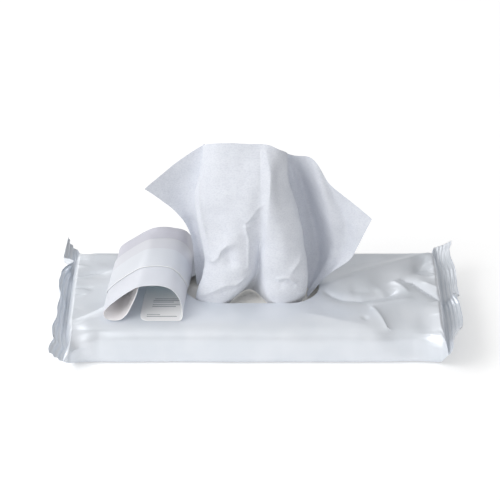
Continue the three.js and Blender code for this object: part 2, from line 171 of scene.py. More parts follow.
def catmull(points, per):
    """A smooth curve through the points, with a set number of steps between each pair of them."""
    p = np.asarray(points, float)
    p = np.vstack([2 * p[0] - p[1], p, 2 * p[-1] - p[-2]])
    gaps = np.maximum(np.linalg.norm(np.diff(p, axis=0), axis=1), 1e-6) ** 0.5
    knots = np.concatenate([[0], np.cumsum(gaps)])
    out = []
    for i in range(1, len(p) - 2):
        t0, t1, t2, t3 = knots[i - 1 : i + 3]
        t = np.linspace(t1, t2, per, endpoint=False)[:, None]
        a1 = (t1 - t) / (t1 - t0) * p[i - 1] + (t - t0) / (t1 - t0) * p[i]
        a2 = (t2 - t) / (t2 - t1) * p[i] + (t - t1) / (t2 - t1) * p[i + 1]
        a3 = (t3 - t) / (t3 - t2) * p[i + 1] + (t - t2) / (t3 - t2) * p[i + 2]
        b1 = (t2 - t) / (t2 - t0) * a1 + (t - t0) / (t2 - t0) * a2
        b2 = (t3 - t) / (t3 - t1) * a2 + (t - t1) / (t3 - t1) * a3
        out.append((t2 - t) / (t2 - t1) * b1 + (t - t1) / (t2 - t1) * b2)
    out.append(p[-2][None])
    return np.vstack(out)


def spline(points, count):
    """A smooth curve through the points, evenly spaced along its length."""
    return resample(catmull(points, SPLINE_STEPS), count)


def noise_field(points, scale, seed):
    """Smooth noise, about -1 to 1, at points in millimetres; scale is its grain size."""
    shift = Vector((seed * 17.3, seed * 5.1, seed * 9.7))
    flat = points.reshape(-1, 3) / scale
    values = [noise.noise(Vector(p) + shift) for p in flat]
    return np.array(values).reshape(points.shape[:-1])


def distance_to_line(x, y, points):
    """The distance to a polyline, and how far along it the nearest place is, from 0 to 1."""
    best = np.full(x.shape, 1e9)
    where = np.zeros(x.shape)
    lengths = [math.dist(a, b) for a, b in zip(points, points[1:])]
    total = sum(lengths)
    done = 0.0
    for (a, b), long in zip(zip(points, points[1:]), lengths):
        dx, dy = b[0] - a[0], b[1] - a[1]
        t = np.clip(((x - a[0]) * dx + (y - a[1]) * dy) / (long * long), 0, 1)
        d = np.hypot(x - a[0] - t * dx, y - a[1] - t * dy)
        near = d < best
        best = np.where(near, d, best)
        where = np.where(near, (done + t * long) / total, where)
        done += long
    return best, where


def grid_normals(grid):
    along = np.gradient(grid, axis=0)
    across = np.gradient(grid, axis=1)
    n = np.cross(across, along)
    return n / np.maximum(np.linalg.norm(n, axis=2, keepdims=True), 1e-9)


# Meshes

def mesh_object(name, points, faces, material, attributes=None):
    mesh = bpy.data.meshes.new(name)
    mesh.from_pydata([tuple(p) for p in np.asarray(points) * MM], [], faces)
    mesh.update()
    mesh.polygons.foreach_set("use_smooth", [True] * len(mesh.polygons))
    for key, values in (attributes or {}).items():
        layer = mesh.attributes.new(key, "FLOAT", "POINT")
        layer.data.foreach_set("value", np.asarray(values, np.float32).ravel())
    mesh.materials.append(material)
    obj = bpy.data.objects.new(name, mesh)
    bpy.context.scene.collection.objects.link(obj)
    return obj


def grid_faces(rows, columns, wrap=False, keep=None):
    faces = []
    for i in range(rows - 1):
        here, above = i * columns, (i + 1) * columns
        for j in range(columns if wrap else columns - 1):
            k = (j + 1) % columns
            if keep is None or keep[i, j]:
                faces.append((here + j, here + k, above + k, above + j))
    return faces


def sheet_shell(grid, thickness):
    """A closed shell of even thickness round a grid of points."""
    rows, columns = grid.shape[:2]
    n = grid_normals(grid)
    upper = (grid + n * thickness / 2).reshape(-1, 3)
    lower = (grid - n * thickness / 2).reshape(-1, 3)
    under = rows * columns
    faces = grid_faces(rows, columns)
    faces += [tuple(under + v for v in reversed(f)) for f in faces]
    ring = list(range(columns))
    ring += [i * columns + columns - 1 for i in range(1, rows)]
    ring += [(rows - 1) * columns + j for j in range(columns - 2, -1, -1)]
    ring += [i * columns for i in range(rows - 2, 0, -1)]
    for a, b in zip(ring, ring[1:] + ring[:1]):
        faces.append((b, a, a + under, b + under))
    return np.vstack([upper, lower]), faces


# Relief of the pouch film, in millimetres on the top as seen from above

# Long folds: points, height (a valley is negative), width, sharpness, and fades at both ends.
FOLDS_IN_FILM = [
    ([(50, -4), (72, 10), (100, 26), (126, 40), (143, 50)], 2.9, 7.0, 1.5, 0.25, 0.05),
    ([(58, 4), (74, 12), (88, 22), (112, 33)], -0.7, 1.6, 1.0, 0.3, 0.3),
    ([(52, -8), (66, -18), (82, -20), (100, -14), (111, -5)], -3.4, 4.2, 1.2, 0.2, 0.15),
    ([(72, -8), (88, -9), (98, -5)], -1.3, 6.0, 1.5, 0.3, 0.3),
    ([(86, -29), (104, -24), (124, -18)], 1.6, 3.0, 1.0, 0.3, 0.3),
    ([(112, 12), (122, 8), (132, -6), (143, -20)], -3.8, 3.8, 1.1, 0.2, 0.05),
    ([(106, 10), (112, 0), (119, -14)], 1.7, 3.8, 1.2, 0.25, 0.25),
    ([(136, 44), (127, 24), (119, 12)], -1.6, 4.5, 1.1, 0.2, 0.4),
    ([(143, 12), (130, 15), (121, 20)], 1.3, 2.6, 1.0, 0.1, 0.5),
    ([(143, -6), (134, 2), (128, 9)], 1.4, 2.4, 1.0, 0.1, 0.5),
    ([(143, 30), (134, 33), (127, 31)], 1.1, 2.0, 1.0, 0.1, 0.5),
    ([(36, -38), (66, -47), (92, -52)], 1.1, 4.5, 1.4, 0.35, 0.3),
    ([(88, -30), (96, -44), (102, -56)], 1.9, 3.4, 1.1, 0.3, 0.1),
    ([(-143, 13), (-130, 19), (-112, 22)], -2.2, 2.6, 1.1, 0.05, 0.4),
    ([(-143, 22), (-128, 27), (-108, 29)], 1.1, 6.0, 1.4, 0.1, 0.5),
    ([(-143, 4), (-128, 8), (-110, 12)], 0.9, 5.0, 1.4, 0.1, 0.5),
    ([(-143, -3), (-133, -2), (-125, -1)], -1.4, 1.3, 1.0, 0.05, 0.5),
    ([(-143, -7), (-134, -7), (-126, -8)], 1.4, 1.3, 1.0, 0.05, 0.5),
    ([(-143, -12), (-136, -12), (-130, -14)], -1.2, 1.2, 1.0, 0.05, 0.5),
    ([(-143, -46), (-127, -36), (-108, -22)], -1.8, 3.4, 1.1, 0.1, 0.4),
    ([(-143, -53), (-124, -45), (-100, -34)], 1.2, 4.0, 1.2, 0.1, 0.5),
    ([(-140, 48), (-120, 47), (-96, 42)], 0.8, 6.0, 1.3, 0.2, 0.5),
    ([(40, 26), (74, 36), (104, 44)], -1.2, 8.0, 1.5, 0.3, 0.3),
]

# Hollows: centre, reach along x and y, turn in degrees, depth, steepness of the rim.
HOLLOWS = [
    (101, 8, 11, 13, -25, 2.6, 1.3),
    (133, 26, 8, 15, 8, 2.8, 1.4),
    (83, -43, 2.2, 2.2, 0, 0.9, 1.2),
    (66, 32, 34, 12, 22, 1.6, 1.4),
    (-126, 4, 16, 22, 0, 0.9, 1.2),
    (-120, -50, 16, 8, 20, 1.0, 1.2),
]

# Dents that press the film in from outside: centre, reach each way, depth, steepness of the rim.
DENTS = [
    ((119, -53, 27), (23, 26, 20), 4.2, 1.9),
    ((131, -44, 29), (8, 17, 24), 1.1, 1.3),
    ((132, -62, 12), (9, 10, 9), 0.5, 1.5),
    ((-138, -58, 24), (10, 10, 14), 2.0, 1.6),
    ((-136, -62, 15), (9, 8, 8), 3.0, 2.0),
    ((-124, -62, 12), (7, 8, 9), 1.0, 1.5),
    ((139, 58, 22), (10, 11, 14), 2.6, 1.5),
    ((-138, 58, 22), (10, 11, 14), 2.2, 1.5),
]
PLEATS_PER_END = 11
PLEAT_SEED = 5
PLEAT_ROOT = 144
PLEAT_SPREAD = 54
PLEAT_SHIFT = 3
PLEAT_LENGTHS = (7, 20)
PLEAT_SLANT = 5
PLEAT_HEIGHTS = (0.35, 0.8)
PLEAT_WIDTHS = (1.0, 2.4)
PLEAT_SHARPNESS = 1.1
PLEAT_FADES = (0.05, 0.6)


def pleats():
    """Short gathers that run in from the end seals."""
    rng = random.Random(PLEAT_SEED)
    found = []
    for sign in (-1, 1):
        for k in range(PLEATS_PER_END):
            even = lerp(-PLEAT_SPREAD, PLEAT_SPREAD, (k + 0.5) / PLEATS_PER_END)
            y = even + rng.uniform(-PLEAT_SHIFT, PLEAT_SHIFT)
            long = rng.uniform(*PLEAT_LENGTHS)
            slant = rng.uniform(-PLEAT_SLANT, PLEAT_SLANT)
            height = rng.choice((-1, 1)) * rng.uniform(*PLEAT_HEIGHTS)
            line = [(sign * PLEAT_ROOT, y), (sign * (PLEAT_ROOT - long), y + slant)]
            found.append((line, height, rng.uniform(*PLEAT_WIDTHS), PLEAT_SHARPNESS, *PLEAT_FADES))
    return found


def relief(x, y):
    """The height that folds and hollows add to the top film."""
    height = np.zeros(x.shape)
    for line, tall, width, sharp, fade_in, fade_out in FOLDS_IN_FILM + pleats():
        d, t = distance_to_line(x, y, line)
        taper = smooth(t / fade_in + 0.25) * smooth((1 - t) / fade_out)
        height += tall * taper * np.exp(-((d / width) ** sharp))
    for cx, cy, rx, ry, turn, depth, steep in HOLLOWS:
        c, s = math.cos(math.radians(turn)), math.sin(math.radians(turn))
        u = ((x - cx) * c + (y - cy) * s) / rx
        v = (-(x - cx) * s + (y - cy) * c) / ry
        height -= depth * np.exp(-((u * u + v * v) ** steep))
    return height


# Pouch

EAR_CURVE = 1.2

# Where the relief fades out: in from the ends in millimetres, and in from the edges as a share.
RELIEF_END_FADE = 5
RELIEF_EDGE_FADE = 0.1

# How close the top film comes to the flat top of the stack, and how softly it settles there.
FILM_OVER_STACK = 0.9
STACK_MARGIN = 1
SETTLING = 3


def seal_at(x):
    return LEFT_SEAL if x < 0 else RIGHT_SEAL


def section_at(x):
    """The sizes of the pouch's section at x."""
    inward = ROOT_X - abs(x)
    flare = float(np.clip(1 - inward / FLARE_LENGTH, 0, 1))
    end = float(np.clip(1 - inward / END_ROOM, 0, 1))
    full = POUCH_HEIGHT / 2 + FLATTENING / 2
    half_depth = lerp(HALF_DEPTH, HALF_DEPTH + EAR - EAR_TIP, end**2)
    return {
        "half_depth": half_depth,
        "ear": HALF_DEPTH + EAR * flare**EAR_CURVE - half_depth,
        "half_height": lerp(SEAL_HALF_THICKNESS, full, math.sqrt(1 - end**2)),
        "centre": lerp(full - FLATTENING, SEAL_HEIGHT, float(smooth(end))),
        "front": lerp(FRONT_BOXINESS, END_BOXINESS, float(smooth(end))),
        "back": lerp(BACK_BOXINESS, END_BOXINESS, float(smooth(end))),
        "below": lerp(BASE_BOXINESS, END_BOXINESS, float(smooth(end))),
    }


def top_height(x, y):
    """The height of the top film's outside at places on the top, for one x."""
    s = section_at(x)
    y = np.asarray(y, float)
    w = np.clip(np.abs(y) / s["half_depth"], 0, 1)
    z = s["centre"] + s["half_height"] * box_curve(w, np.where(y < 0, s["front"], s["back"]))
    lively = smooth((ROOT_X - abs(x)) / RELIEF_END_FADE) * smooth((1 - w) / RELIEF_EDGE_FADE)
    z = z + relief(np.full(y.shape, float(x)), y) * lively
    flat_half = WIPE_DEPTH_FOLDED / 2 - STACK_ROUNDING
    over = (abs(x) <= STACK_HALF + STACK_MARGIN) & (np.abs(y) <= flat_half)
    floor = STACK_TOP + FILM_OVER_STACK
    return np.where(over, floor + np.logaddexp(0, (z - floor) * SETTLING) / SETTLING, z)


TOP_COUNT = 122
SIDE_COUNT = 26
BOTTOM_COUNT = 40
CORNER_COUNT = 60
TOP_REACH = 0.9
BOTTOM_REACH = 0.9


def section_ring(x):
    """One ring at x: over the top from back to front, down the front, under, and up the back."""
    s = section_at(x)
    w = np.linspace(TOP_REACH, -TOP_REACH, TOP_COUNT)
    y_top = w * s["half_depth"]
    top = np.stack([y_top, top_height(x, y_top)], axis=1)

    def side(sign):
        dense = []
        above = s["front"] if sign < 0 else s["back"]
        below = s["below"]
        for angle in np.linspace(math.acos(TOP_REACH ** (above / 2)), 0, CORNER_COUNT):
            dense.append((math.cos(angle) ** (2 / above), math.sin(angle) ** (2 / above)))
        for angle in np.linspace(0, math.acos(BOTTOM_REACH ** (below / 2)), CORNER_COUNT)[1:]:
            dense.append((math.cos(angle) ** (2 / below), -math.sin(angle) ** (2 / below)))
        ear = s["ear"] * (seal_at(x)["front_ear"] if sign < 0 else 1)
        line = [
            (sign * (s["half_depth"] * a + ear * (1 - abs(b))), s["centre"] + s["half_height"] * b)
            for a, b in dense
        ]
        return resample(line, SIDE_COUNT + 2)[1:-1]

    front = side(-1)
    back = side(1)[::-1]
    under_w = np.linspace(-BOTTOM_REACH, BOTTOM_REACH, BOTTOM_COUNT)
    under_z = s["centre"] - s["half_height"] * box_curve(under_w, s["below"])
    under = np.stack([under_w * s["half_depth"], under_z], axis=1)
    recess = FIN_THICKNESS * (np.abs(under[:, 0]) < FIN_WIDTH / 2 + FIN_GROOVE)
    under[:, 1] = np.maximum(under[:, 1], recess)
    ring = np.vstack([top, front, under, back])
    end = float(smooth(1 - (ROOT_X - abs(x)) / END_ROOM))
    across = ring[:, 0] / (HALF_DEPTH + EAR)
    seal = seal_at(x)
    rise = np.where(ring[:, 0] > 0, seal["back_rise"], seal["front_rise"]) * across**2
    ring[:, 1] += end * rise
    return np.column_stack([np.full(len(ring), x), ring])


# Dents and puckers of the long sides: where they start in y, their fades, depths and grains.
SIDE_START = 50
SIDE_FADE = 8
SIDE_FOOT_FADE = 5
SIDE_PUCKER = 0.3
SIDE_DRAW_IN = 0.5
SIDE_GRAIN = 34
PUCKER_GRAIN = 11


def side_relief(grid):
    """Soft dents and puckers on the long sides and along the edges of the top."""
    x, y, z = grid[..., 0], grid[..., 1], grid[..., 2]
    beside = smooth((np.abs(y) - SIDE_START) / SIDE_FADE)
    beside = beside * smooth((ROOT_X - np.abs(x)) / SIDE_FADE) * smooth(z / SIDE_FOOT_FADE)
    soft = noise_field(grid * np.array([1, 0.4, 1.2]), SIDE_GRAIN, 1)
    fine = noise_field(grid * np.array([1, 0.4, 0.5]), PUCKER_GRAIN, 2) * SIDE_PUCKER
    out = (soft + fine) * beside
    shifted = grid.copy()
    shifted[..., 1] += np.sign(y) * (out - SIDE_DRAW_IN * beside)
    return shifted


# Unevenness of the seals: long waves, short ripples and one kink, in degrees of the fin's lift.
SEAL_WAVE = 16
SEAL_WAVE_GRAIN = 22
SEAL_RIPPLE = 2.5
SEAL_RIPPLE_GRAIN = 7
SEAL_KINK = 30
TEETH_START = 0.86


def fin_rows(root, sign, count):
    """Rows of a seal from its root ring to its serrated edge."""
    y = root[:, 1]
    across = np.clip(y / (HALF_DEPTH + EAR), -1, 1)
    seal = seal_at(sign)
    lift = lerp(seal["middle"], np.where(across > 0, seal["back"], seal["front"]), across**2)
    wave = np.array([noise.noise(Vector((v / SEAL_WAVE_GRAIN, sign * 7.7, 0))) for v in y])
    ripple = np.array([noise.noise(Vector((v / SEAL_RIPPLE_GRAIN, sign * 3.1, 5))) for v in y])
    kink = np.exp(-(((y - seal["kink"]) / seal["kink_width"]) ** 2))
    lift = np.radians(lift + wave * SEAL_WAVE + ripple * SEAL_RIPPLE + kink * SEAL_KINK)
    tooth = np.abs(((y / TOOTH_PITCH) % 1) - 0.5) * 2
    rows = []
    for k in range(1, count + 1):
        q = k / count
        serrated = smooth((q - TEETH_START) / (1 - TEETH_START))
        reach = SEAL_WIDTH * q - TOOTH_DEPTH * tooth * serrated
        crimp = seal["crimp"] * math.cos(q * seal["ridges"] * 2 * math.pi) * float(smooth(q * 6))
        bend = lift * (0.75 + 0.5 * q)
        x = root[:, 0] + sign * (reach * np.cos(bend) - crimp * np.sin(bend))
        z = root[:, 2] + reach * np.sin(bend) + crimp * np.cos(bend)
        rows.append(np.column_stack([x, y, z]))
    return rows


def dented(grid, normals, spare=0.0):
    """The grid pressed in by the dents, spare millimetres deeper and wider where that is asked."""
    for centre, reach, depth, steep in DENTS:
        r = (((grid - np.array(centre)) / (np.array(reach) + spare)) ** 2).sum(axis=2)
        grid = grid - normals * ((depth + spare) * np.exp(-(r**steep)))[..., None]
    return grid


FIN_ROWS = 40

# Bands of stations along the pouch: from and to, in from its end, and how many in each.
STATION_BANDS = [(0, 6, 16), (6, 60, 62), (60, ROOT_X, 66)]


def pouch_stations():
    """Places along x, closer together near the ends."""
    inward = np.concatenate([[0]] + [np.linspace(*band)[1:] for band in STATION_BANDS])
    right = ROOT_X - inward
    return np.concatenate([-right, right[::-1][1:]])


# The bottom fin: its grid, its ribs and the unevenness of its edges.
FIN_STATIONS = 180
FIN_COUNT = 40
FIN_RIB = 0.08
FIN_RIB_PITCH = 1.6
FIN_RIB_ROOM = 0.2
FIN_EDGE_WAVE = 0.4
FIN_EDGE_GRAIN = 30


def bottom_fin():
    """The strip along the underside where the film's two long edges are sealed together."""
    x = np.linspace(-(ROOT_X - FIN_END_GAP), ROOT_X - FIN_END_GAP, FIN_STATIONS)
    y = np.linspace(-FIN_WIDTH / 2, FIN_WIDTH / 2, FIN_COUNT)
    ribs = FIN_RIB * np.cos(y * 2 * math.pi / FIN_RIB_PITCH)
    edge = noise_field(np.stack([x, x * 0, x * 0], axis=1), FIN_EDGE_GRAIN, 41) * FIN_EDGE_WAVE
    grid = np.zeros((len(x), len(y), 3))
    grid[..., 0] = x[:, None]
    grid[..., 1] = y + edge[:, None]
    grid[..., 2] = FIN_THICKNESS / 2 + ribs
    return sheet_shell(grid, FIN_THICKNESS - FIN_RIB_ROOM)


SLOT_MARGIN = 0.35


def make_pouch(material):
    """The film with its end seals and bottom fin, and the opening cut in its top."""
    body = np.array([section_ring(x) for x in pouch_stations()])
    body = side_relief(body)
    body = dented(body, grid_normals(body))
    body[..., 2] = np.maximum(body[..., 2], 0)
    left = fin_rows(body[0], -1, FIN_ROWS)
    right = fin_rows(body[-1], 1, FIN_ROWS)
    grid = np.array(left[::-1] + list(body) + right)
    rows, columns = grid.shape[:2]
    radius = OPENING_WIDTH / 2
    half = OPENING_LENGTH / 2 - radius

    def slot_distance(x, y):
        u = np.maximum(np.abs(x - OPENING_X) - half, 0)
        return np.hypot(u, y - OPENING_Y) - radius

    on_top = np.zeros((rows, columns), bool)
    on_top[FIN_ROWS + 1 : rows - FIN_ROWS - 1, :TOP_COUNT] = True
    inside = on_top & (slot_distance(grid[..., 0], grid[..., 1]) < SLOT_MARGIN)
    pairs = inside & np.roll(inside, -1, axis=1)
    keep = ~(pairs[:-1, :] & pairs[1:, :])
    used = np.zeros((rows, columns), bool)
    used[:-1, :] |= keep
    used[1:, :] |= keep
    used |= np.roll(used, 1, axis=1)
    rim = used & inside
    for i, j in zip(*np.nonzero(rim)):
        x, y = grid[i, j, 0], grid[i, j, 1]
        cx = OPENING_X + float(np.clip(x - OPENING_X, -half, half))
        dx, dy = x - cx, y - OPENING_Y
        size = math.hypot(dx, dy)
        nx, ny = cx + dx / size * radius, OPENING_Y + dy / size * radius
        grid[i, j] = (nx, ny, float(top_height(nx, [ny])[0]))
    points = grid.reshape(-1, 3)
    faces = grid_faces(rows, columns, wrap=True, keep=keep)
    fin_points, fin_faces = bottom_fin()
    faces += [tuple(v + len(points) for v in face) for face in fin_faces]
    return mesh_object("pouch_film", np.vstack([points, fin_points]), faces, material)


# Height of the finished film, for what lies on it

MAP_STEP = 1.0


def height_map():
    xs = np.arange(-ROOT_X, ROOT_X + MAP_STEP, MAP_STEP)
    ys = np.arange(-HALF_DEPTH, HALF_DEPTH + MAP_STEP, MAP_STEP)
    return xs, ys, np.array([top_height(x, ys) for x in xs])


MAP_X, MAP_Y, MAP_Z = height_map()


def film_height(x, y):
    i = np.clip((np.asarray(x) - MAP_X[0]) / MAP_STEP, 0, len(MAP_X) - 1.001)
    j = np.clip((np.asarray(y) - MAP_Y[0]) / MAP_STEP, 0, len(MAP_Y) - 1.001)
    i0, j0 = i.astype(int), j.astype(int)
    u, v = i - i0, j - j0
    low = lerp(MAP_Z[i0, j0], MAP_Z[i0 + 1, j0], u)
    high = lerp(MAP_Z[i0, j0 + 1], MAP_Z[i0 + 1, j0 + 1], u)
    return lerp(low, high, v)


# Stack of interleaved wipes

LAYER_BULGE = 0.55
LAYER_INSET = 0.6
LAYER_PARTS = (0.0, 0.25, 0.5, 0.75)
STACK_CLEARANCE = 4.0
STACK_STATIONS = 120
STACK_TOP_COUNT = 90
STACK_BASE_COUNT = 24

# Unevenness of the stack: its top swells and the folds of its layers stand in and out.
SWELL = 0.35
SWELL_GRAIN = 26
SWELL_FINE = 0.12
SWELL_FINE_GRAIN = 9
SWELL_SETTLE = 0.45
STAGGER = 0.35
STAGGER_GRAIN = 10
TOP_SKIN = 0.2

# The direction in which dents press the stack: across its faces, turning quickly at its edges.
OUTWARD_POWER = 7


def make_stack(material):
    """A block of folded layers, pressed in where the film round it is."""
    tall = STACK_TOP - STACK_BASE
    pitch = tall / STACK_LAYERS
    half = WIPE_DEPTH_FOLDED / 2 - LAYER_INSET
    side = []
    for k in range(STACK_LAYERS):
        for part in LAYER_PARTS:
            up = (k + part) * pitch
            bulge = LAYER_BULGE * math.sin(math.pi * part)
            side.append((half - corner_inset(up, tall, STACK_ROUNDING) + bulge, STACK_BASE + up))
    side = np.array(side)
    top_half = side[-1, 0] - 1
    base_half = side[0, 0] - 1
    top = np.array([(y, STACK_TOP) for y in np.linspace(top_half, -top_half, STACK_TOP_COUNT)])
    bottom = np.array([(y, STACK_BASE) for y in np.linspace(-base_half, base_half, STACK_BASE_COUNT)])
    mirrored = side[::-1] * np.array([-1, 1])
    profile = np.vstack([side, top, mirrored, bottom])
    xs = np.linspace(-STACK_HALF, STACK_HALF, STACK_STATIONS)
    grid = np.zeros((len(xs), len(profile), 3))
    grid[..., 0] = xs[:, None]
    grid[..., 1] = profile[None, :, 0]
    grid[..., 2] = profile[None, :, 1]
    upper = smooth((grid[..., 2] - STACK_TOP + TOP_SKIN) / TOP_SKIN)
    swell = noise_field(grid, SWELL_GRAIN, 11) * SWELL
    swell += noise_field(grid, SWELL_FINE_GRAIN, 12) * SWELL_FINE
    grid[..., 2] += upper * (swell - SWELL_SETTLE)
    stagger = noise_field(grid * np.array([0.3, 0.0, 9.0]), STAGGER_GRAIN, 13) * STAGGER
    grid[..., 1] += np.sign(grid[..., 1]) * (stagger - STAGGER) * (1 - upper)
    middle = np.array([0, 0, (STACK_BASE + STACK_TOP) / 2])
    half_sizes = np.array([STACK_HALF, WIPE_DEPTH_FOLDED / 2, tall / 2])
    outward = ((grid - middle) / half_sizes) ** OUTWARD_POWER
    outward /= np.linalg.norm(outward, axis=2, keepdims=True) + 1e-6
    grid = dented(grid, outward, STACK_CLEARANCE)
    faces = grid_faces(len(xs), len(profile), wrap=True)
    points = grid.reshape(-1, 3)
    last = (len(xs) - 1) * len(profile)
    faces.append(tuple(range(len(profile) - 1, -1, -1)))
    faces.append(tuple(last + j for j in range(len(profile))))
    return mesh_object("stacked_wipes", points, faces, material)


# Drawn wipe

# Its folds from the left hem to the right hem, each from the neck up to the top edge.
NECK = 30.6
FOLDS = [
    [(-43, 9, NECK), (-45, 14, 48), (-48, 15, 75), (-58, 11, 94), (-70, 6, 108), (-81, 0, 120)],
    [(-35, 13, NECK), (-37, 18, 45), (-44, 18, 73), (-51, 14, 97), (-58, 10, 119), (-60, 6, 138)],
    [(-31, 6, NECK), (-31, 12, 50), (-38, 9, 80), (-41, 6, 111), (-37, 7, 137), (-36, 7, 155)],
    [
        (-44, -17, NECK), (-42, -20, 42), (-35, -13, 62), (-40, -6, 89),
        (-43, -3, 117), (-38, 0, 139), (-36, 3, 157),
    ],
    [
        (-34, -25, NECK), (-32, -25.6, 42), (-22, -21, 66), (-26, -15, 93),
        (-29, -11, 121), (-27, -7, 145), (-26, -3, 161),
    ],
    [
        (-23, -25.2, NECK), (-18, -25.4, 42), (-9, -23, 62), (-12, -20, 88),
        (-14, -15, 124), (-14, -10, 146), (-13, -5, 162),
    ],
    [
        (-19, -20, NECK), (-12, -22, 40), (-3, -20, 54), (2, -15, 74),
        (-3, -19, 101), (-2, -16, 135), (-2, -4, 161),
    ],
    [(-2, 2.5, NECK), (4, -9, 51), (6, -12, 78), (6, -16, 98), (6, -17, 135), (6, -4, 161)],
    [
        (17, -24.8, NECK), (12, -24, 42), (9, -20, 54), (10, -20, 66),
        (11, -19, 82), (12, -21, 101), (14, -19, 135), (13, -5, 160.5),
    ],
    [
        (26, -25.2, NECK), (27, -25.6, 42), (26, -24, 63), (24, -21, 88),
        (22, -17, 112), (19, -12, 136), (20, -5, 157),
    ],
    [
        (38, -17, NECK), (42, -17, 42), (42, -14, 63), (39, -9, 81),
        (35, -5, 104), (28, -3, 128), (26, 1, 151),
    ],
    [(38, 2, NECK), (36, 8, 49), (29, 12, 74), (24, 12, 100), (12, 9, 134), (-3, 4, 152)],
    [(42, 6, NECK), (45, 16, 47), (42, 19, 70), (37, 19, 96), (28, 14, 130), (12, 8, 151)],
    [(44, 3, NECK), (52, 20, 49), (50, 24, 67), (46, 25, 88), (38, 20, 120), (31, 12, 143)],
    [(43, -2, NECK), (58, 8, 52), (62, 6, 73), (58, 3, 96), (50, 1, 126), (45, 2, 146)],
    [(43, -6, NECK), (60, 2, 48), (71, 4, 69), (73, 3, 88), (67, 2, 105), (59, 1, 125)],
    [(43, -10, NECK), (58, -5, 47), (76, -3, 61), (81, -5, 73), (86, -8, 87), (91, -10, 100)],
]
WIPE_ROWS = 150
WIPE_STEPS = 16

# The guides between which the front layers lie, which alone take creases, and their fade.
FRONT_GUIDES = (2.6, 10.6)
FRONT_FADE = 0.8
CREASE_FOOT = 36
CREASE_FOOT_FADE = 6

# Unevenness of the cloth: bends, waves and wrinkles, calmer near the neck.
LOOSE_FROM = 38
LOOSE_OVER = 20
CLOTH_BEND = 1.5
CLOTH_BEND_GRAIN = 30
CLOTH_WAVE = 0.4
CLOTH_WAVE_AT_NECK = 0.1
CLOTH_WAVE_GRAIN = 12
CLOTH_WRINKLE = 0.1
CLOTH_WRINKLE_GRAIN = 4.5

# Creases of the front layers, seen from the front: (x, z) points, height towards the viewer,
# width, sharpness, and fades at both ends.
WIPE_CREASES = [
    ([(-33, 65), (-26, 72), (-24, 78), (-19, 83), (-10, 84)], 3.0, 2.2, 1.0, 0.2, 0.3),
    ([(-20, 79), (-17, 72), (-15, 62)], -3.4, 4.6, 1.4, 0.3, 0.4),
    ([(-5, 101), (-2, 86), (-3, 58)], 2.2, 2.4, 1.0, 0.1, 0.2),
    ([(-40, 40), (-28, 47), (-20, 51), (-12, 51), (-3, 57)], 1.5, 2.0, 1.0, 0.2, 0.1),
    ([(-28, 42), (-18, 46), (-10, 48)], -0.9, 3.0, 1.0, 0.3, 0.3),
    ([(-5, 101), (4, 113), (12, 121)], 1.6, 3.2, 1.0, 0.05, 0.5),
    ([(-5, 101), (7, 104)], -0.9, 1.4, 1.0, 0.1, 0.4),
    ([(29, 60), (36, 68), (40, 79)], 1.9, 2.2, 1.0, 0.2, 0.4),
    ([(18, 55), (24, 57), (29, 57), (35, 50)], 2.1, 1.4, 1.0, 0.2, 0.2),
    ([(27, 54), (34, 49)], -1.5, 1.5, 1.0, 0.3, 0.3),
    ([(24, 54), (20, 46)], -0.9, 1.6, 1.0, 0.2, 0.3),
    ([(38, 39), (39, 43)], 2.0, 2.6, 1.6, 1.0, 1.0),
    ([(-39, 108), (-36, 90), (-33, 79), (-28, 73)], 1.4, 2.6, 1.0, 0.4, 0.2),
    ([(-26, 112), (-25, 101), (-21, 86)], -1.5, 7.0, 1.4, 0.4, 0.3),
    ([(-35, 157), (-39, 140), (-41, 121), (-39, 101), (-33, 76)], 1.5, 1.4, 1.0, 0.1, 0.2),
    ([(10, 160), (14, 142), (13, 122), (12, 105)], 0.9, 3.0, 1.0, 0.1, 0.4),
    ([(6, 158), (6, 141), (6, 118)], -0.5, 1.2, 1.0, 0.1, 0.5),
    ([(-33, 124), (-10, 123), (6, 124)], 0.4, 1.4, 1.0, 0.3, 0.3),
]


def make_wipe(material):
    """One sheet through the guides, with its creases and the cloth's own unevenness."""
    curves = np.array([spline(points, WIPE_ROWS) for points in FOLDS])
    grid = np.array([catmull(curves[:, i], WIPE_STEPS) for i in range(WIPE_ROWS)])
    guide = np.arange(grid.shape[1]) / WIPE_STEPS
    first, last = FRONT_GUIDES
    front = smooth((guide - first) / FRONT_FADE) * smooth((last - guide) / FRONT_FADE)
    x, z = grid[..., 0], grid[..., 2]
    lift = np.zeros(x.shape)
    for line, tall, width, sharp, fade_in, fade_out in WIPE_CREASES:
        d, t = distance_to_line(x, z, line)
        taper = smooth(t / fade_in + 0.2) * smooth((1 - t) / fade_out)
        lift += tall * taper * np.exp(-((d / width) ** sharp))
    lift *= front[None, :] * smooth((grid[..., 2] - CREASE_FOOT) / CREASE_FOOT_FADE)
    normals = grid_normals(grid)
    normals *= -np.sign(normals[..., 1:2] + 1e-9)
    loose = smooth((grid[..., 2] - LOOSE_FROM) / LOOSE_OVER)
    bend = noise_field(grid, CLOTH_BEND_GRAIN, 21) * CLOTH_BEND * loose
    bend += noise_field(grid, CLOTH_WAVE_GRAIN, 22) * (CLOTH_WAVE_AT_NECK + CLOTH_WAVE * loose)
    bend += noise_field(grid, CLOTH_WRINKLE_GRAIN, 23) * CLOTH_WRINKLE
    grid = grid + np.array([0, -1, 0]) * lift[..., None] + normals * bend[..., None]
    grid[..., 0] += OPENING_X
    points = grid.reshape(-1, 3)
    return mesh_object("drawn_wipe_cloth", points, grid_faces(*grid.shape[:2]), material)


# Label and the die-cut flap on its back

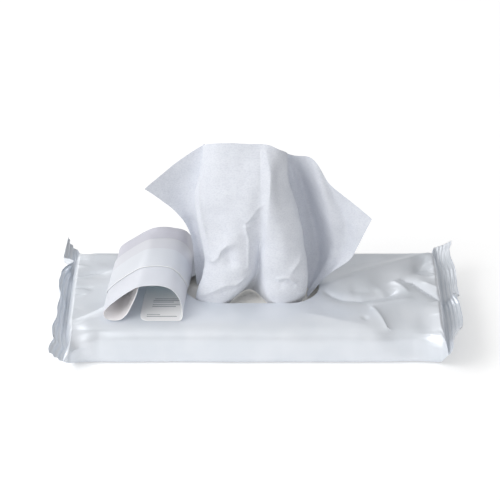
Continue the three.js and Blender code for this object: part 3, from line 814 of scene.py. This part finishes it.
# The curl's outline from the bend to the tip, in x and in height above the film.
CURL = [
    (0, 0), (1.6, 2.5), (1.4, 13), (-1.5, 21.5), (-7, 28), (-14, 30.8), (-23, 31.2), (-31, 30),
    (-38, 26), (-47, 19.5), (-54, 13.5), (-57.8, 8.5), (-57, 3.6), (-51.5, 1.0), (-45.5, 1.5),
    (-40.8, 5.5), (-36.8, 13), (-31.3, 26.5),
]
CURL_STEPS = 260
ANCHOR_STEPS = 46
CURL_REACH = 58
LABEL_ROWS = 90
FLAP_ROWS = 70

# Unevenness of the curl above its seat: waves along it, more of them at its back edge, and how far
# its back sags. Depths are shares of the label's width, from its front edge.
CURL_FREE_FROM = 3
CURL_FREE_OVER = 12
WAVY_FROM = 0.6
SAG_FROM = 0.3
LABEL_WAVE = 0.5
LABEL_WAVE_AT_BACK = 1.3
LABEL_WAVE_GRAIN = 26
LABEL_RIPPLE_AT_BACK = 0.8
LABEL_RIPPLE_GRAIN = 11
LABEL_SIDEWAYS = 0.6
LABEL_SAG = 0.11


def label_path(offset):
    """Places along the label: x, height above the film, and length from its anchored end."""
    anchored = np.linspace(-LABEL_ANCHOR, -1.0, ANCHOR_STEPS)
    curl = spline(CURL, CURL_STEPS)[1:]
    tangent = np.gradient(curl, axis=0)
    tangent /= np.linalg.norm(tangent, axis=1, keepdims=True)
    steps = np.linalg.norm(np.diff(np.vstack([[0, 0], curl]), axis=0), axis=1)
    x = np.concatenate([anchored, curl[:, 0] + tangent[:, 1] * offset])
    z = np.concatenate([np.full(ANCHOR_STEPS, float(offset)), curl[:, 1] - tangent[:, 0] * offset])
    length = np.concatenate([anchored + LABEL_ANCHOR, LABEL_ANCHOR + np.cumsum(steps)])
    return x, z, length


def label_grid(x, z, length, y):
    """Points of the label for each step of its path and each place across it."""
    px = LABEL_ROOT_X + x[:, None] + LABEL_SKEW * (y - LABEL_FRONT)
    loose = smooth((z[:, None] - CURL_FREE_FROM) / CURL_FREE_OVER)
    depth = (y - LABEL_FRONT) / LABEL_WIDTH
    sway = np.stack([np.broadcast_to(length[:, None], y.shape), y, np.zeros(y.shape)], axis=2)
    far = smooth((depth - WAVY_FROM) / (1 - WAVY_FROM))
    wave = noise_field(sway, LABEL_WAVE_GRAIN, 31) * (LABEL_WAVE + LABEL_WAVE_AT_BACK * far)
    ripple = noise_field(sway, LABEL_RIPPLE_GRAIN, 32) * LABEL_RIPPLE_AT_BACK * far
    wobble = (wave + ripple) * loose
    drop = 1 - LABEL_SAG * smooth((depth - SAG_FROM) / (1 - SAG_FROM))
    seat = film_height(np.maximum(px, LABEL_ROOT_X - CURL_REACH), y) + LABEL_GAP + LABEL_FILM / 2
    return np.stack([px + wobble * LABEL_SIDEWAYS, y, seat + z[:, None] * drop + wobble], axis=2)


def make_label(material):
    """The label from its anchored end to the tip of its curl, with facts for its print."""
    x, z, length = label_path(0.0)
    total = length[-1]
    inset = np.array([corner_inset(v, total, LABEL_CORNER) for v in length])
    share = np.linspace(0, 1, LABEL_ROWS)[None, :]
    y = lerp(LABEL_FRONT + inset[:, None], LABEL_FRONT + LABEL_WIDTH - inset[:, None], share)
    grid = label_grid(x, z, length, y)
    points, faces = sheet_shell(grid, LABEL_FILM)
    count = grid.shape[0] * grid.shape[1]
    along = np.tile(np.broadcast_to(length[:, None], y.shape).ravel(), 2)
    across = np.tile((y - LABEL_FRONT).ravel(), 2)
    printed = np.concatenate([np.zeros(count), np.ones(count)])
    facts = {"along": along, "across": across, "printed": printed}
    return mesh_object("label_film", points, faces, material, facts)


def make_flap(material):
    """The cut-out flap on the label's outer side, with the opening's outline."""
    x, z, length = label_path(LABEL_FILM / 2 + FLAP_GAP + FLAP_FILM / 2)
    middle = OPENING_X + LABEL_ANCHOR - LABEL_ROOT_X
    half = OPENING_LENGTH / 2 - FLAP_CLEARANCE
    radius = OPENING_WIDTH / 2 - FLAP_CLEARANCE
    inside = np.abs(length - middle) < half
    x, z, length = x[inside], z[inside], length[inside]
    beyond = np.maximum(0, np.abs(length - middle) - (half - radius))
    reach = np.sqrt(radius**2 - beyond**2)
    share = np.linspace(-1, 1, FLAP_ROWS)[None, :]
    y = OPENING_Y + reach[:, None] * share
    grid = label_grid(x, z, length, y)
    points, faces = sheet_shell(grid, FLAP_FILM)
    rim = np.tile((reach[:, None] * (1 - np.abs(share))).ravel(), 2)
    across = np.tile((y - LABEL_FRONT).ravel(), 2)
    return mesh_object("flap_film", points, faces, material, {"rim": rim, "across": across})


# Materials

def new_material(name, color, roughness, metallic=0.0):
    material = bpy.data.materials.new(name)
    material.use_nodes = True
    shader = material.node_tree.nodes["Principled BSDF"]
    shader.inputs["Base Color"].default_value = (*color, 1)
    shader.inputs["Roughness"].default_value = roughness
    shader.inputs["Metallic"].default_value = metallic
    return material, material.node_tree, shader


def link(tree, source, target):
    tree.links.new(source, target)


def math_node(tree, operation, first, second=0.0, third=0.0):
    node = tree.nodes.new("ShaderNodeMath")
    node.operation = operation
    for socket, value in zip(node.inputs, (first, second, third)):
        if hasattr(value, "links"):
            link(tree, value, socket)
        else:
            socket.default_value = value
    return node.outputs["Value"]


def ramp_between(tree, value, low, high):
    """0 below low and 1 above high, smooth between them."""
    node = tree.nodes.new("ShaderNodeMapRange")
    node.interpolation_type = "SMOOTHSTEP"
    node.inputs["From Min"].default_value = low
    node.inputs["From Max"].default_value = high
    link(tree, value, node.inputs["Value"])
    return node.outputs["Result"]


def mix_color(tree, factor, first, second):
    node = tree.nodes.new("ShaderNodeMix")
    node.data_type = "RGBA"
    sockets = (node.inputs["Factor"], node.inputs[6], node.inputs[7])
    for socket, value in zip(sockets, (factor, first, second)):
        if hasattr(value, "links"):
            link(tree, value, socket)
        elif isinstance(value, tuple):
            socket.default_value = (*value, 1)
        else:
            socket.default_value = value
    return node.outputs[2]


def attribute(tree, name):
    node = tree.nodes.new("ShaderNodeAttribute")
    node.attribute_name = name
    return node.outputs["Fac"]


def noise_node(tree, grain, detail=2.0, stretch=(1, 1, 1)):
    """Noise with grains of that size in millimetres, on the object's own coordinates."""
    place = tree.nodes.new("ShaderNodeTexCoord")
    mapping = tree.nodes.new("ShaderNodeMapping")
    mapping.inputs["Scale"].default_value = stretch
    node = tree.nodes.new("ShaderNodeTexNoise")
    node.inputs["Scale"].default_value = 1 / (grain * MM)
    node.inputs["Detail"].default_value = detail
    link(tree, place.outputs["Object"], mapping.inputs["Vector"])
    link(tree, mapping.outputs["Vector"], node.inputs["Vector"])
    return node.outputs["Fac"]


def add_bump(tree, shader, height, depth, below=None):
    """Bump of that depth in millimetres."""
    node = tree.nodes.new("ShaderNodeBump")
    node.inputs["Distance"].default_value = depth * MM
    link(tree, height, node.inputs["Height"])
    if below is not None:
        link(tree, below, node.inputs["Normal"])
    link(tree, node.outputs["Normal"], shader.inputs["Normal"])
    return node.outputs["Normal"]


FILM_LIGHT = (0.80, 0.831, 0.878)
FILM_DARK = (0.76, 0.797, 0.848)


def film_material():
    """Soft gloss laminate: part metallic, in two slightly different tones."""
    material, tree, shader = new_material("pouch_film", FILM_DARK, 0.34, metallic=0.42)
    shader.inputs["Coat Weight"].default_value = 0.06
    shader.inputs["Coat Roughness"].default_value = 0.3
    cloud = noise_node(tree, 30, 2)
    tone = mix_color(tree, ramp_between(tree, cloud, 0.35, 0.65), FILM_DARK, FILM_LIGHT)
    link(tree, tone, shader.inputs["Base Color"])
    rough = tree.nodes.new("ShaderNodeMapRange")
    rough.inputs["To Min"].default_value = 0.36
    rough.inputs["To Max"].default_value = 0.48
    link(tree, noise_node(tree, 7, 3), rough.inputs["Value"])
    link(tree, rough.outputs["Result"], shader.inputs["Roughness"])
    wobble = add_bump(tree, shader, noise_node(tree, 14, 2), 0.25)
    add_bump(tree, shader, noise_node(tree, 1.1, 2), 0.015, wobble)
    return material


def cloth_material(name, light, dark):
    """Nonwoven cloth: matted fibres that show as fine specks and short streaks."""
    material, tree, shader = new_material(name, light, 0.85)
    shader.inputs["Sheen Weight"].default_value = 0.15
    specks = ramp_between(tree, noise_node(tree, 0.9, 3, (0.6, 1, 1)), 0.36, 0.56)
    clouds = ramp_between(tree, noise_node(tree, 6, 3), 0.3, 0.7)
    cover = math_node(tree, "MULTIPLY_ADD", clouds, 0.35, math_node(tree, "MULTIPLY", specks, 0.65))
    link(tree, mix_color(tree, cover, dark, light), shader.inputs["Base Color"])
    fibres = add_bump(tree, shader, noise_node(tree, 0.5, 3, (0.4, 1, 1)), 0.12)
    add_bump(tree, shader, noise_node(tree, 3.0, 3), 0.18, fibres)
    return material


LABEL_WHITE = (0.96, 0.96, 0.97)
# The teal is partly the label's print and partly painted shade on the back of the curl.
LABEL_TEAL_PRINT_AND_SHADE = (0.50, 0.67, 0.74)
LABEL_PINK = (0.97, 0.89, 0.90)
LABEL_INK = (0.30, 0.32, 0.35)
LABEL_BACK = (0.725, 0.752, 0.83)
LABEL_BACK_DARK = (0.60, 0.595, 0.68)

# Printed bars: how far from the front edge, along from the anchored end, to where, and height.
PRINT_BARS = [
    (25.5, 9, 27, 0.9), (23.4, 8, 29, 0.9), (21.3, 8, 24, 0.9), (17.8, 8, 29, 0.9), (15.7, 8, 26, 0.9),
    (6.2, 5, 15, 0.8), (4.4, 5, 28, 0.8),
]


def printed_bars(tree, along, across):
    ink = None
    for place, start, end, tall in PRINT_BARS:
        row = math_node(tree, "COMPARE", across, place, tall / 2)
        begun = math_node(tree, "GREATER_THAN", along, float(start))
        ended = math_node(tree, "LESS_THAN", along, float(end))
        bar = math_node(tree, "MULTIPLY", row, math_node(tree, "MULTIPLY", begun, ended))
        ink = bar if ink is None else math_node(tree, "MAXIMUM", ink, bar)
    return ink


def label_material():
    """White print side with soft fields of colour and bars, and a greyer adhesive side; the teal field
    that deepens towards the label's back is partly print and partly painted shade.
    """
    material, tree, shader = new_material("label_film", LABEL_WHITE, 0.38)
    shader.inputs["Subsurface Weight"].default_value = 0.4
    shader.inputs["Subsurface Scale"].default_value = 0.002
    shader.inputs["Subsurface Radius"].default_value = (1, 1, 1)
    along, across, printed = (attribute(tree, key) for key in ("along", "across", "printed"))
    pink = math_node(tree, "MULTIPLY", ramp_between(tree, along, 100.0, 125.0), 0.45)
    face = mix_color(tree, pink, LABEL_WHITE, LABEL_PINK)
    # Teal that deepens towards the label's back edge: partly print, partly painted shade.
    face = mix_color(tree, ramp_between(tree, across, 18.0, 62.0), face, LABEL_TEAL_PRINT_AND_SHADE)
    bars = math_node(tree, "MULTIPLY", printed_bars(tree, along, across), 0.8)
    face = mix_color(tree, bars, face, LABEL_INK)
    back = mix_color(tree, ramp_between(tree, across, 67.2, 67.8), LABEL_BACK, LABEL_BACK_DARK)
    tone = mix_color(tree, ramp_between(tree, printed, 0.4, 0.6), back, face)
    link(tree, tone, shader.inputs["Base Color"])
    add_bump(tree, shader, noise_node(tree, 9, 2), 0.12)
    return material


FLAP_LIGHT = (0.72, 0.747, 0.80)
FLAP_SHADE = (0.68, 0.69, 0.745)
FLAP_RIM = (0.93, 0.94, 0.95)


def flap_material():
    """Film with a darker band behind and a pale cut edge."""
    material, tree, shader = new_material("flap_film", FLAP_LIGHT, 0.34)
    across, rim = attribute(tree, "across"), attribute(tree, "rim")
    tone = mix_color(tree, ramp_between(tree, across, 49.0, 49.8), FLAP_LIGHT, FLAP_SHADE)
    rear = ramp_between(tree, across, 60.0, 62.0)
    inner = math_node(tree, "MAXIMUM", ramp_between(tree, rim, 0.4, 0.8), rear)
    tone = mix_color(tree, inner, FLAP_RIM, tone)
    link(tree, tone, shader.inputs["Base Color"])
    add_bump(tree, shader, noise_node(tree, 9, 2), 0.12)
    return material


# Stage

# Light: the side that the studio is brightest toward, its levels, and its lamps, each with its
# name, place in metres, size and power in watts.
BRIGHT_SIDE = (-0.7, -0.55, 0.5)
WORLD_DARK = 0.12
WORLD_BRIGHT = 0.85
LAMPS = [
    ("key", (-1.25, -0.9, 1.3), (1.15, 1.15), 16),
    ("sheen", (-1.0, 1.7, 0.95), (1.2, 0.9), 6),
]

# The floor: its glow towards the camera and in reflections, which keeps it white under a soft
# shadow, its drop below the pack in millimetres, and its size in metres.
FLOOR_GLOW = 0.3
FLOOR_REFLECTED = 0.28
FLOOR_DROP = 0.1
FLOOR_SIZE = 12


def floor_material():
    """Matt and pale, with its glow."""
    material = bpy.data.materials.new("floor")
    material.use_nodes = True
    tree = material.node_tree
    shader = tree.nodes["Principled BSDF"]
    shader.inputs["Base Color"].default_value = (0.9, 0.9, 0.9, 1)
    shader.inputs["Roughness"].default_value = 0.9
    shader.inputs["Emission Color"].default_value = (1, 1, 1, 1)
    rays = tree.nodes.new("ShaderNodeLightPath")
    seen = math_node(tree, "MULTIPLY", rays.outputs["Is Camera Ray"], FLOOR_GLOW)
    glow = math_node(tree, "MULTIPLY_ADD", rays.outputs["Is Glossy Ray"], FLOOR_REFLECTED, seen)
    tree.links.new(glow, shader.inputs["Emission Strength"])
    return material


def make_stage():
    """Camera, floor, world and lamps."""
    scene = bpy.context.scene
    scene.view_settings.view_transform = "Standard"
    target = Vector(CAMERA_TARGET) * MM
    tilt = math.radians(CAMERA_ELEVATION)
    camera = bpy.data.objects.new("camera", bpy.data.cameras.new("camera"))
    camera.location = target + Vector((0, -math.cos(tilt), math.sin(tilt))) * CAMERA_DISTANCE * MM
    camera.rotation_euler = (math.pi / 2 - tilt, 0, 0)
    camera.data.lens = CAMERA_LENS
    camera.data.sensor_width = SENSOR
    scene.collection.objects.link(camera)
    scene.camera = camera

    bpy.ops.mesh.primitive_plane_add(size=FLOOR_SIZE, location=(0, 0, -FLOOR_DROP * MM))
    floor = bpy.context.object
    floor.name = "floor"
    floor.data.materials.append(floor_material())

    world = bpy.data.worlds.new("studio")
    scene.world = world
    world.use_nodes = True
    tree = world.node_tree
    back = tree.nodes["Background"]
    back.inputs["Color"].default_value = (1, 1, 1, 1)
    rays = tree.nodes.new("ShaderNodeLightPath")
    place = tree.nodes.new("ShaderNodeTexCoord")
    toward = tree.nodes.new("ShaderNodeVectorMath")
    toward.operation = "DOT_PRODUCT"
    toward.inputs[1].default_value = Vector(BRIGHT_SIDE).normalized()
    tree.links.new(place.outputs["Generated"], toward.inputs[0])
    side = tree.nodes.new("ShaderNodeMapRange")
    side.inputs["From Min"].default_value = -1.0
    side.inputs["To Min"].default_value = WORLD_DARK
    side.inputs["To Max"].default_value = WORLD_BRIGHT
    tree.links.new(toward.outputs["Value"], side.inputs["Value"])
    level = tree.nodes.new("ShaderNodeMapRange")
    level.inputs["To Max"].default_value = 1.0
    tree.links.new(side.outputs["Result"], level.inputs["To Min"])
    tree.links.new(rays.outputs["Is Camera Ray"], level.inputs["Value"])
    tree.links.new(level.outputs["Result"], back.inputs["Strength"])
    for name, place, size, power in LAMPS:
        lamp = bpy.data.lights.new(name, "AREA")
        lamp.shape = "RECTANGLE"
        lamp.size, lamp.size_y = size
        lamp.energy = power
        holder = bpy.data.objects.new(name, lamp)
        holder.location = place
        aim = Vector((0, 0, 0.04)) - Vector(place)
        holder.rotation_euler = aim.to_track_quat("-Z", "Y").to_euler()
        scene.collection.objects.link(holder)


make_stage()
STACKED_CLOTH = cloth_material("stacked_wipes", (0.93, 0.915, 0.87), (0.87, 0.855, 0.81))
DRAWN_CLOTH = cloth_material("drawn_wipe", (0.77, 0.795, 0.85), (0.69, 0.715, 0.78))
PIECES = [
    (make_pouch(film_material()), "pouch", "pouch_film"),
    (make_stack(STACKED_CLOTH), "wipe_stack", "stacked_wipes"),
    (make_wipe(DRAWN_CLOTH), "drawn_wipe", "drawn_wipe"),
    (make_label(label_material()), "reseal_label", "label_film"),
    (make_flap(flap_material()), "die_cut_flap", "flap_film"),
]
for piece, node, finish in PIECES:
    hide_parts(node)
    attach(piece, "root")
